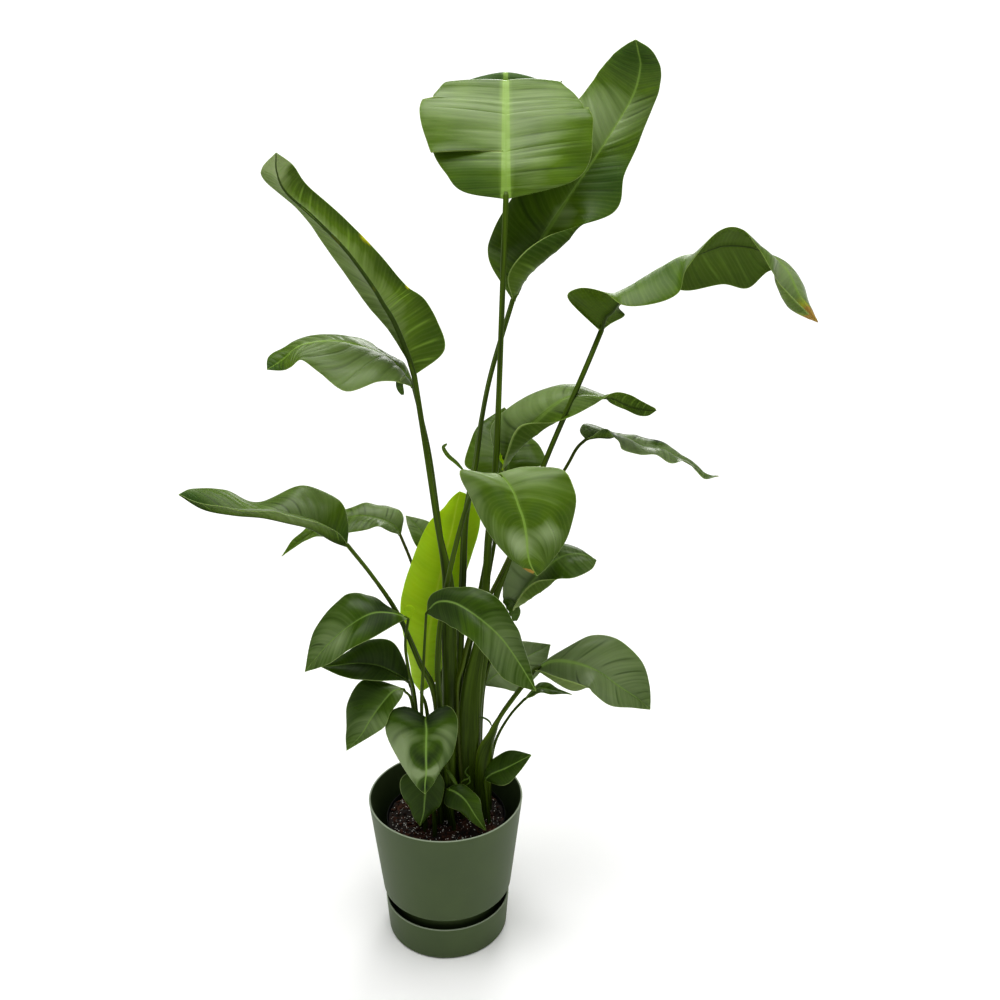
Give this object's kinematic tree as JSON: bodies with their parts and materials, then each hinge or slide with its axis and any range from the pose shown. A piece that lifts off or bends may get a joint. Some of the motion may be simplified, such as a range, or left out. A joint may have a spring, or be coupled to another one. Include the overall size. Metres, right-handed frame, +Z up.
{
  "type": "potted bird of paradise",
  "caption": "Leafy bird of paradise plant: long-stalked broad leaves in a clump, standing in soil in a round plastic pot on a saucer.",
  "frame": {"origin": "centre of the saucer's flat underside, at floor level", "axes": "+Z up; the reference view looks along +Y, with +X to its right"},
  "size_m": [0.872, 0.4871, 1.369],
  "materials": {
    "pot_plastic": "satin, dark sage green",
    "saucer_plastic": "satin, dark sage green",
    "grow_pot_plastic": "thin black nursery pot",
    "potting_soil": "damp bark and peat potting mix",
    "leaf": "glossy leathery leaf",
    "new_leaf": "thin new leaf, lime green"
  },
  "bodies": {
    "root": {"saucer": "saucer_plastic", "pot": "pot_plastic", "grow_pot": "grow_pot_plastic", "soil": "potting_soil", "leaf_top_centre": "leaf", "leaf_top_right": "leaf", "leaf_top_left": "leaf", "leaf_upper_left": "leaf", "leaf_right_long": "leaf", "leaf_mid_right": "leaf", "leaf_mid_back": "leaf", "leaf_front_large": "leaf", "leaf_right_twisted": "leaf", "leaf_right_folded": "leaf", "leaf_far_left": "leaf", "leaf_left_back": "leaf", "leaf_back_small": "leaf", "leaf_new_lime": "new_leaf", "leaf_low_left_upper": "leaf", "leaf_low_left_middle": "leaf", "leaf_low_left_lower": "leaf", "leaf_front_heart": "leaf", "leaf_front_arching": "leaf", "leaf_front_drooping": "leaf", "leaf_front_lowest": "leaf", "leaf_low_right_small": "leaf", "leaf_low_right_large": "leaf", "leaf_low_back_dark": "leaf", "leaf_low_right_narrow": "leaf"}
  },
  "joints": []
}
